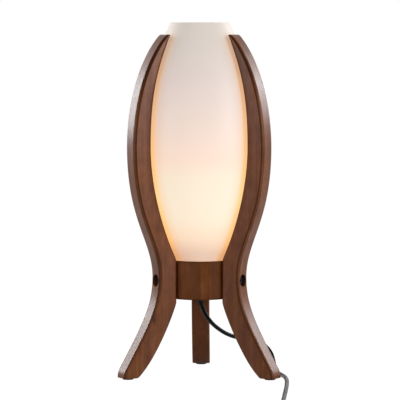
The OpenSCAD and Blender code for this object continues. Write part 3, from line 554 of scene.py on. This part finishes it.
def glass_r(z):
    """The glass's outer radius at a height."""
    for a, b in zip(glass_outer, glass_outer[1:]):
        if z <= b[1]:
            return a[0] + (b[0] - a[0]) * max(0, z - a[1]) / (b[1] - a[1])
    return glass_outer[-1][0]


def moved_in(points, distance):
    """A profile moved to its left by a distance."""
    result = []
    for i, p in enumerate(points):
        along = (points[min(i + 1, len(points) - 1)] - points[max(i - 1, 0)]).normalized()
        result.append(p + distance * Vector((-along[1], along[0])))
    return result


def make_glass():
    """A shell of even wall with a straight neck and a fire-polished lip."""
    inner = moved_in(glass_outer, GLASS_T)
    lip_c = (mouth_end + inner[-1]) / 2
    turn = math.atan2(mouth_end[1] - lip_c[1], mouth_end[0] - lip_c[0])
    lip = []
    for i in range(1, 10):
        a = turn + math.pi * i / 10
        lip.append(lip_c + LIP_R * Vector((math.cos(a), math.sin(a))))
    profile = glass_outer + lip + inner[:0:-1] + [Vector((NECK_R - GLASS_T, NECK_Z))]
    piece("glass_shade", turned(profile, 128), "opal_glass", "lamp", "shade")


make_glass()

# ---------------------------------------------------------------- legs

toe, shin, waist = Vector((116, PAD_T)), Vector((112.4, PAD_T + 12.4)), Vector((65, 130))
belly, shoulder = Vector((101.8, 297)), Vector((64, LEG_H - 12))
shoulder_r = glass_r(shoulder[1]) + GLASS_GAP
tip_r = shoulder_r - 3.8
N_TOE, N_SHIN, N_SEAT, N_WAIST, N_TOP, N_TIP = 6, 28, 6, 34, 30, 10
outer_edge = curve(
    toe, toe + Vector((0, 5)), shin - 5 * lean(-31), shin, N_TOE
) + curve(
    shin, shin + 62 * lean(-31), waist - Vector((0, 38)), waist, N_SHIN, 1
) + curve(
    waist, waist + Vector((0, 46)), belly - Vector((0, 94)), belly, N_WAIST, 1
) + curve(
    belly, belly + Vector((0, 52)), shoulder - 38 * lean(-37), shoulder, N_TOP, 1
) + curve(
    shoulder, shoulder + 3.5 * lean(-37), Vector((tip_r + 6, LEG_H)), Vector((tip_r + 2.4, LEG_H)), N_TIP, 1)
heel, seat_foot = Vector((95, PAD_T)), Vector((SEAT_R, HUB_Z - 3.8))
seat_middle, seat_end = Vector((SEAT_R, waist[1])), Vector((SEAT_R, HUB_TOP))
n_belly = N_WAIST - N_SEAT
heights = [HUB_TOP + (belly[1] - HUB_TOP) * i / n_belly for i in range(1, n_belly + 1)]
heights += [belly[1] + (shoulder[1] - belly[1]) * i / N_TOP for i in range(1, N_TOP + 1)]
inner_edge = curve(heel, heel + 38.6 * lean(-48.7), seat_foot - Vector((0, 5)), seat_foot, N_SHIN)
inner_edge += steps(seat_foot, seat_middle, N_TOE) + steps(seat_middle, seat_end, N_SEAT)
inner_edge += [Vector((max(SEAT_R, glass_r(z) + GLASS_GAP), z)) for z in heights]
inner_edge += steps(Vector((shoulder_r, shoulder[1])), Vector((tip_r, LEG_H - 1.2)), N_TIP)
# (radius, distance from the lamp's axis) of the bolt's hole, its counterbore and the counterbore's chamfer
BORE = [(3.3, 30), (3.3, 56), (7.5, 56), (7.5, 64.3), (8.3, 65.3), (8.3, 120)]
BORE_SHADE_R = 7.6


def make_leg(node, turn, offset):
    """A board of one thickness between its two curved edges, with rounded corners and its bolt's hole."""
    spin = about_z(turn, 3)
    rings, boards, corners = [], [], []
    stations = [(outer_edge[0], inner_edge[0], 0.96)] + [(o, i, 1.0) for o, i in zip(outer_edge, inner_edge)]
    stations[1] = (stations[1][0] + Vector((0, 0.6)), stations[1][1] + Vector((-0.5, 0.6)), 1.0)
    for outer, inner, share in stations:
        width = (outer - inner).length
        across, middle = (outer - inner) / width, (outer + inner) / 2
        ring = []
        for a, b, corner in rounded(width, LEG_T, min(LEG_EDGE, 0.45 * width)):
            p = middle + a * share * across
            ring.append(spin @ Vector((p[0], b * share, p[1])))
            boards.append((p[0] * MM, b * MM + offset, p[1] * MM))
            corners.append(corner)
        rings.append(ring)
    bm = bridged(rings)
    board = bm.verts.layers.float_vector.new("board")
    corner_layer = bm.verts.layers.float.new("corner")
    bm.verts.ensure_lookup_table()
    for vert, place, corner in zip(bm.verts, boards, corners):
        vert[board], vert[corner_layer] = place, corner
    made = piece(node + "_board", bm, "leg_wood", "lamp", node, crease=50)
    carve(made, drill(BORE, turn), crease=50)
    board, corner_layer = made.data.attributes["board"].data, made.data.attributes["corner"].data
    for i, vert in enumerate(made.data.vertices):
        p = spin.inverted() @ vert.co
        board[i].vector = p + Vector((0, offset, 0))
        # Painted shade: the counterbore and its rim are marked 0.25, which the wood's finish paints nearly black.
        if math.hypot(p[1], p[2] - BOLT_Z * MM) < BORE_SHADE_R * MM:
            corner_layer[i].value = 0.25


for number, (node, turn) in enumerate(LEG_TURNS.items()):
    make_leg(node, turn, 0.37 * number)


# ---------------------------------------------------------------- hub


def make_hub():
    """The turned hub with soft edges, its rebate, well and recess, and three flats for the legs."""
    edge, pipe_r, recess_r, recess_z, well_r, rebate_r = 1.2, 5.1, 13, HUB_Z + 4.5, 22, 37.5
    arc = [(math.cos(math.radians(a)), math.sin(math.radians(a))) for a in range(0, 91, 15)]
    low = [(HUB_R - edge + edge * c, HUB_Z + edge - edge * s) for c, s in reversed(arc)] + [(HUB_R, HUB_Z + 1.9)]
    high = [(HUB_R, HUB_TOP - 1.9)] + [(HUB_R - edge + edge * c, HUB_TOP - edge + edge * s) for c, s in arc]
    bm = turned([(pipe_r, recess_z), (recess_r, recess_z), (recess_r, HUB_Z)] + low + high + [
        (rebate_r + 0.6, HUB_TOP), (rebate_r, HUB_TOP - 0.6), (rebate_r, LEDGE_Z), (well_r, LEDGE_Z),
        (well_r, FLOOR_Z), (pipe_r, FLOOR_Z)], 144)
    faced = [about_z(turn, 3) @ Vector((1, 0, 0)) for turn in LEG_TURNS.values()]
    for out in faced:
        cut = bmesh.ops.bisect_plane(bm, geom=bm.verts[:] + bm.edges[:] + bm.faces[:], dist=1e-7,
            plane_co=out * SEAT_R * MM, plane_no=out, clear_outer=True)
        rim = [g for g in cut["geom_cut"] if isinstance(g, bmesh.types.BMEdge)]
        bmesh.ops.edgeloop_fill(bm, edges=rim)
    board = bm.verts.layers.float_vector.new("board")
    corner_layer = bm.verts.layers.float.new("corner")
    # Painted shade: the flats beside the legs and the hub's top and bottom rims are marked 0.3, which the wood's finish
    # darkens.
    for vert in bm.verts:
        vert[board] = vert.co + Vector((0, 1.3, 0))
        leg_gap_shade = any(vert.co.dot(out) > (SEAT_R - 0.01) * MM for out in faced)
        rim_shade = not HUB_Z + 1.3 < vert.co.z / MM < HUB_TOP - 1.3
        vert[corner_layer] = 0.3 if leg_gap_shade or rim_shade else 1
    piece("hub_block", bm, "hub_wood", "lamp", "hub")


make_hub()

# ---------------------------------------------------------------- bolts and feet


def make_bolts():
    """A socket-head bolt in each leg: a chamfered head with a hexagon socket."""
    shank_l, socket_r, socket_l, socket_at = 32, 2.9, 4, 60.1
    bm, sockets = bmesh.new(), bmesh.new()
    for turn in LEG_TURNS.values():
        verts = rod(bm, HEAD_R, HEAD_T, 48, bolt_frame(turn, HEAD_AT + HEAD_T / 2))
        out = bolt_frame(turn).to_3x3() @ Vector((0, 0, 1))
        ends = [f for f in {f for v in verts for f in v.link_faces} if len(f.verts) > 4]
        face = max(ends, key=lambda f: f.calc_center_median().dot(out))
        soften(bm, list(face.edges), 0.7, 3)
        rod(bm, BOLT_R, shank_l, 32, bolt_frame(turn, HEAD_AT - shank_l / 2))
        rod(sockets, socket_r, socket_l, 6, bolt_frame(turn, socket_at))
    head = piece("leg_bolt_heads", bm, "black_steel", "lamp", "leg_bolts")
    carve(head, mesh_of(sockets, "sockets"), crease=38)


def make_pads():
    """A rubber pad with a softened foot under each leg."""
    bm = bmesh.new()
    for turn in LEG_TURNS.values():
        a = math.radians(turn)
        spot = Matrix.Translation((PAD_R * MM * math.cos(a), PAD_R * MM * math.sin(a), PAD_T / 2 * MM))
        edges = {e for v in rod(bm, PAD_D / 2, PAD_T, 48, spot) for e in v.link_edges}
        soften(bm, [e for e in edges if all(abs(v.co.z) < 1e-6 for v in e.verts)], 0.4, 4)
    piece("rubber_pads", bm, "pad_rubber", "lamp", "foot_pads")


make_bolts()
make_pads()

# ---------------------------------------------------------------- cords


def between(a, b, c, d, t):
    """A share t of the way from b to c on the smooth curve that a and d bend."""
    return 0.5 * (2 * b + (c - a) * t + (2 * a - 5 * b + 4 * c - d) * t * t + (3 * b - a - 3 * c + d) * t ** 3)


def eased(route, n):
    """A smooth line along a route, n points to a stretch; its first and last stretches stay straight."""
    points = route[1:-1]
    last = len(points) - 1
    line = [route[0]]
    for i in range(last):
        for k in range(n):
            line.append(between(points[max(i - 1, 0)], points[i], points[i + 1], points[min(i + 2, last)], k / n))
    return line + route[-2:]


def cord_piece(name, points, *nodes):
    """A round cord along points in millimetres, which stands for the CAD nodes named."""
    data = bpy.data.curves.new(name, "CURVE")
    data.dimensions = "3D"
    data.bevel_depth = CORD_R * MM
    data.bevel_resolution = 5
    data.use_fill_caps = True
    line = data.splines.new("POLY")
    line.points.add(len(points) - 1)
    for point, p in zip(line.points, points):
        point.co = (*(Vector(p) * MM), 1)
    line.use_smooth = True
    made = shown(name, data, "cord_sheath", "lamp")
    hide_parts(*nodes)
    return made


GRIP_LEAN, GRIP_TURN = math.radians(22), math.radians(20)
GRIP_Z, GRIP_FLANGE_T, GRIP_STEP, GRIP_ELBOW, GRIP_TAIL = HUB_Z - 1, 2, 0.2, 1.1, 7
SWITCH, SWITCH_REACH = Vector((20, -381, 7.5)), Vector((30, 0, 0))
STRAIGHT = Vector((2 * CORD_R, 0, 0))
grip_bend = Vector((0, 0, GRIP_Z - GRIP_FLANGE_T - GRIP_STEP - GRIP_ELBOW))
grip_way = Vector((
    math.sin(GRIP_LEAN) * math.cos(GRIP_TURN), math.sin(GRIP_LEAN) * math.sin(GRIP_TURN), -math.cos(GRIP_LEAN)))
cord_out = grip_bend + GRIP_TAIL * grip_way
switch_in, switch_out = SWITCH + SWITCH_REACH, SWITCH - SWITCH_REACH
drop_line = eased([cord_out, cord_out + 2 * CORD_R * grip_way] + [Vector(p) for p in (
    (7, 3.6, 78.6), (11.2, 7.6, 71.8), (16.8, 13.4, 64.4), (23.8, 20.6, 57.6), (33, 29.4, 50.6),
    (43.2, 39, 45.2), (56, 46.4, 41.6), (68, 49.4, 39.4), (78, 48.2, 36.4), (87.4, 43.6, 30.4),
    (93.6, 37, 22.6), (96.4, 28.6, 14.6), (98, 16, 7.6), (100.2, 2.4, 3.9), (103, -12, 2.95),
    (106.2, -26, 2.8), (109.4, -41, 2.75), (111.4, -58, 2.75), (112.4, -82, 2.75), (112, -110, 2.75),
    (111, -140, 2.75), (109.6, -172, 2.75), (108, -205, 2.75), (106.4, -238, 2.75), (105, -267, 2.75),
    (103.6, -294, 2.75), (101, -319, 2.78), (94, -343, 2.8), (84, -362, 3.1), (72, -374, 4.6),
    (62, -380, 6.6),
)] + [switch_in + STRAIGHT, switch_in], 8)
drop = cord_piece("mains_cord", drop_line, "cord_drop")

# The coil lies in two layers on its strap; in the half turn at its middle it climbs from one to the other.
COIL_R, PITCH, TURNS, RING_STEPS, CLIMB = 39.5, 6.0, 5.5, 48, 0.5
coil_at = Vector((-46, SWITCH[1] - COIL_R, 0))
layers = (TIE_T + CORD_R, TIE_T + CORD_R + PITCH)
coil_in = Vector((coil_at[0] + 2 * CORD_R, coil_at[1] + COIL_R, layers[0]))
coil_out = Vector((coil_at[0] + 2 * CORD_R, coil_at[1] - COIL_R, layers[1]))
plug_in = Vector((-12, coil_at[1] - COIL_R, 9.35))
link_line = eased([
    switch_out, switch_out - STRAIGHT, Vector((-22, SWITCH[1], 6.2)), Vector((-29, SWITCH[1], 4.6)),
    coil_in + STRAIGHT, coil_in], 4)
coil_line = []
for i in range(int(TURNS * RING_STEPS) + 1):
    s = i / RING_STEPS
    radius = COIL_R - PITCH * min(s, TURNS - s)
    t = max(0.0, min(1.0, (s - TURNS / 2) / CLIMB + 0.5))
    z = layers[0] + (layers[1] - layers[0]) * t * t * (3 - 2 * t)
    a = math.radians(90 + 360 * s)
    coil_line.append(coil_at + Vector((radius * math.cos(a), radius * math.sin(a), z)))
wound_line = link_line + coil_line + [coil_out, coil_out + STRAIGHT, plug_in - STRAIGHT, plug_in]
wound = cord_piece("wound_cord", wound_line, "cord_link", "cord_coil", "cord_tail")

# ---------------------------------------------------------------- pieces on the cord


def ring_round(middle, way, radius, n=32):
    """A circle of points across a way."""
    one = way.cross(Vector((0, 1, 0))).normalized()
    other = way.cross(one)
    return [middle + radius * (math.cos(math.tau * k / n) * one + math.sin(math.tau * k / n) * other) for k in range(n)]


def make_grip():
    """The cord grip: a stem up the pipe, a soft flange under the hub and a ribbed tail along the cord."""
    stem_l, stem_r, root_r, taper = 17, 3.45, 3.7, 0.75
    down, foot = Vector((0, 0, -1)), Vector((0, 0, GRIP_Z))
    rings = [ring_round(foot - down * stem_l, down, stem_r), ring_round(foot, down, stem_r)]
    for fall, radius in ((0, 4.6), (0.15, 5), (0.5, 5.2), (1.4, 5.2), (1.8, 5), (2, 4.5), (2.1, 3.9)):
        rings.append(ring_round(foot + down * fall, down, radius))
    rings.append(ring_round(grip_bend, (down + grip_way).normalized(), root_r))
    for along, groove in ((1.1, 0), (1.6, 0), (1.8, 0.3), (2.3, 0.3), (2.5, 0), (3.3, 0), (3.5, 0.3), (4, 0.3),
            (4.2, 0), (5, 0), (5.2, 0.24), (5.6, 0.24), (5.8, 0), (6.7, 0), (7, 0.15)):
        radius = root_r - taper * along / GRIP_TAIL - groove
        rings.append(ring_round(grip_bend + along * grip_way, grip_way, radius))
    piece("ribbed_cord_grip", bridged(rings), "pad_rubber", "lamp", "cord_grip", crease=50)


def flat_ring(x, y, w, t, r, z):
    """A level rounded rectangle of points round a place."""
    return [Vector((x + a, y + b, z)) for a, b, _ in rounded(w, t, r, 8)]


def soft_box(x, y, w, t, r, levels):
    """A rounded box from (inset, height) pairs."""
    return bridged([flat_ring(x, y, w - 2 * inset, t - 2 * inset, r - inset, z) for inset, z in levels])


def make_switch_case():
    """Two case halves with soft edges that meet at a fine seam; the rocker's opening is in the upper one."""
    x, y = SWITCH[0], SWITCH[1]
    case, room, opening, rim = (48, 23, 9), (30, 19, 3), (23, 11.5, 0.8), (24, 12.5, 1.3)
    upper = soft_box(x, y, *case, [
        (0.35, 7.5), (0.1, 7.6), (0, 7.85), (0, 12.2), (0.2, 13.4), (0.75, 14.4), (1.6, 14.88), (2.6, 15)])
    cover = piece("switch_upper_case", upper, "black_plastic", "lamp", "switch_cover")
    inside = bridged([flat_ring(x, y, *size, z) for size, z in (
        (room, 7), (room, 13), (opening, 13.01), (opening, 14.6), (rim, 15.1), (rim, 16))])
    carve(cover, mesh_of(inside, "room"), crease=40)
    lower = soft_box(x, y, *case, [
        (1.6, 0), (0.6, 0.25), (0.12, 0.9), (0, 1.6), (0, 7.15), (0.1, 7.4), (0.35, 7.5)])
    base = piece("switch_lower_case", lower, "black_plastic", "lamp", "switch_base")
    hollow = bridged([flat_ring(x, y, *room, z) for z in (2, 8)])
    for side in (-1, 1):  # the counterbores of the case's two screws
        rod(hollow, 2.4, 2.6, 40, Matrix.Translation(Vector((x + 17 * side, y + 7.2 * side, 0.3)) * MM))
    carve(base, mesh_of(hollow, "hollow"), crease=40)


def make_switch_collars():
    """A ribbed collar at each end of the switch, round the cord."""
    bm = bmesh.new()
    ribs = [(2.8, 23), (5.2, 23), (5.2, 24.2), (4.6, 24.5), (4.6, 25.1), (5, 25.4), (4.95, 26.2), (4.4, 26.5),
        (4.4, 27.1), (4.75, 27.4), (4.7, 28.2), (4.2, 28.5), (4.2, 29.1), (4.4, 29.3), (4.3, 29.9), (4, 30), (2.8, 30)]
    for turn in (90, -90):
        half = turned(ribs, 48)
        bmesh.ops.transform(half, verts=half.verts, matrix=Matrix.Translation(SWITCH * MM) @ about_y(turn))
        bm.from_mesh(mesh_of(half, "half"))
    piece("switch_collars", bm, "black_plastic", "lamp", crease=40)


def make_rocker():
    """The rocker: dished, with grip ridges on its raised end and soft edges, tilted to on."""
    reach, top_steps, pin_z, tilt = 10.1, 60, 12, 12
    line = []
    for i in range(top_steps + 1):
        x = -reach + 0.35 + (2 * reach - 0.7) * i / top_steps
        ridge = 0.16 * math.sin(math.pi * (x + 8.6) / 1.3) ** 2 if -8.6 < x < -4.7 else 0
        line.append((x, 3.1 + 1.2 * (x / reach) ** 2 + ridge))
    side = [(10.05, 4.1), (10.1, 3.7), (9.5, -0.6), (3.2, -3.6)]
    line += side + [(-x, z) for x, z in reversed(side)]
    flank = [(5.4, 0.95), (5.33, 0.98), (5.15, 0.994), (4.9, 1)]
    rings = []
    for y, share in [(-y, share) for y, share in flank] + flank[::-1]:
        rings.append([Vector((x * share, y, z * share)) for x, z in line])
    bm = bridged(rings)
    at = Matrix.Translation((SWITCH[0] * MM, SWITCH[1] * MM, pin_z * MM)) @ about_y(tilt)
    bmesh.ops.transform(bm, verts=bm.verts, matrix=at)
    made = piece("dished_rocker", bm, "rocker_plastic", "rocker", "switch_rocker", crease=35)
    hole = bmesh.new()
    rod(hole, 1.3, 14, 32, at @ Matrix.Rotation(math.radians(90), 4, "X"))
    carve(made, mesh_of(hole, "hole"), crease=35)


def make_tie():
    """A flat strap round one side of the coil, with a small lock on top."""
    x, y, z = -77.85, -424.5, 6.475
    bm = bmesh.new()
    edges = closed_line(bm, [Vector((x, y, z)) + Vector((a, 0, b)) for a, b, _ in rounded(19.5, 12.95, 3.4, 8)])
    grown = bmesh.ops.extrude_edge_only(bm, edges=edges)["geom"]
    far = [g for g in grown if isinstance(g, bmesh.types.BMVert)]
    bmesh.ops.translate(bm, verts=far, vec=(0, TIE_W * MM, 0))
    bmesh.ops.recalc_face_normals(bm, faces=bm.faces)
    bmesh.ops.solidify(bm, geom=bm.faces[:], thickness=TIE_T * MM)
    sharp = [e for e in bm.edges if e.is_manifold and e.calc_face_angle(0) > 1.2]
    soften(bm, [e for e in sharp if abs(e.verts[0].co.y - e.verts[1].co.y) < 1e-6], 0.12, 2)
    lock = soft_box(x, y + TIE_W / 2, 7, 9.4, 1.6, [(0.4, 12.6), (0, 12.9), (0, 14.3), (0.35, 14.8), (1, 15)])
    bm.from_mesh(mesh_of(lock, "lock"))
    piece("coil_strap", bm, "white_plastic", "lamp", "coil_tie", crease=40)


def make_plug():
    """A moulded plug: a ribbed relief that grows out of the cord, finger grooves and a soft square face."""
    sections = [(-12, 5.9, 5.9, 9), (-11.7, 6.6, 6.6, 9)]
    for i in range(6):
        x = -11.2 + 3.15 * i
        r = 3.35 + 1.4 * (x + 12) / 20
        for along, wider in ((0, 0), (1.7, 0.2), (1.95, -1.3), (2.9, -1.2)):
            sections.append((x + along, 2 * r + wider, 2 * r + wider, 9))
    sections += [
        (8, 10, 9.8, 4.8), (9.2, 11.8, 11, 4.6), (12, 14, 12.6, 4.8), (14.6, 16.4, 14.4, 5), (16.4, 18, 15.7, 5.2)]
    groove = ((0, 0, 0, 5.4), (0.4, -0.9, 0, 5.2), (1.1, -0.5, 0.2, 5.2), (1.5, 0.8, 0.4, 5.4))
    for x, w, h in ((17.4, 19.2, 16.2), (19.4, 21, 17.3), (21.4, 22.7, 18.2)):
        for along, wider, higher, r in groove:
            sections.append((x + along, w + wider, h + higher, r))
    sections += [
        (23.6, 24, 18.7, 5.5), (34.4, 24, 18.7, 5.5), (35.3, 23.7, 18.4, 5.4), (35.8, 23, 17.7, 5.1),
        (36, 22, 16.7, 4.7)]
    rings = []
    for x, w, h, r in sections:
        rings.append([Vector((x, plug_in[1] + a, plug_in[2] + b)) for a, b, _ in rounded(w, h, r, 8)])
    piece("moulded_plug", bridged(rings), "black_plastic", "lamp", "plug_body", crease=48)


make_grip()
make_switch_case()
make_switch_collars()
make_rocker()
make_tie()
make_plug()

switch_nodes = [frame["nodes"][n] for n in ("rocker_pin", "switch_terminals", "switch_leads", "switch_screws")]
switch_nodes += [bpy.data.objects[n] for n in (
    "switch_upper_case", "switch_lower_case", "switch_collars", "dished_rocker")]

# ---------------------------------------------------------------- floor and light


def paper_white(name):
    """Nearly white to the camera and in reflections, with the object's shadow left in it."""
    f = Finish(name)
    lit = f.node("BsdfDiffuse", {}, {"Color": (0.5, 0.5, 0.5)})
    glow = f.node("Emission", {}, {"Color": (1, 1, 1), "Strength": 1.13})
    return f.close(f.node("MixShader", {}, {0: f.seen() * 0.9, 1: lit, 2: glow}))


bm = bmesh.new()
bmesh.ops.create_grid(bm, x_segments=1, y_segments=1, size=6)
floor_mesh = bpy.data.meshes.new("floor")
bm.to_mesh(floor_mesh)
bm.free()
floor_mesh.materials.append(paper_white("floor_white"))
floor = bpy.data.objects.new("floor", floor_mesh)
scene.collection.objects.link(floor)

# The studio round the lamp: dim as light, white where it is seen.
studio = Finish("studio", "worlds")
dim = studio.node("Background", {}, {0: (0.95, 0.97, 1.0), 1: 0.15})
white = studio.node("Background", {}, {0: (1, 1, 1), 1: 1.0})
scene.world = studio.close(studio.node("MixShader", {}, {0: studio.seen(), 1: dim, 2: white}), "OutputWorld")


def softbox(name, place, aim_at, size, power, colour=(1, 1, 1)):
    """A rectangular lamp at a place that is aimed at a point, in metres and watts."""
    data = bpy.data.lights.new(name, "AREA")
    data.shape = "RECTANGLE"
    data.size, data.size_y = size
    data.energy = power
    data.color = colour
    made = bpy.data.objects.new(name, data)
    made.location = place
    made.rotation_euler = (Vector(aim_at) - Vector(place)).to_track_quat("-Z", "Y").to_euler()
    scene.collection.objects.link(made)


softbox("front_left", (-0.55, -0.8, 1.2), (0, 0, 0.3), (0.5, 0.5), 0.9)
softbox("side_left", (-1.5, -0.87, 0.62), (0, 0, 0.4), (0.5, 0.5), 7.4)
softbox("side_right", (1.5, -0.87, 0.64), (0, 0, 0.41), (0.5, 0.5), 17)
for name, place, size, power in (
    ("back_left", (-1.6, 1.0, 0.68), (0.36, 0.64), 17.2),
    ("back_left_high", (-1.55, 1.13, 1.27), (0.38, 0.54), 3.3),
    ("back_right", (1.6, 1.0, 0.68), (0.36, 0.32), 5.5),
    ("back_right_mid", (1.6, 1.06, 0.92), (0.36, 0.16), 6.4),
    ("back_right_high", (1.55, 1.13, 1.22), (0.38, 0.44), 4.6),
):
    softbox(name, place, (0, 0, 0.25), size, power, (0.93, 0.97, 1))

scene.view_settings.view_transform = "Standard"
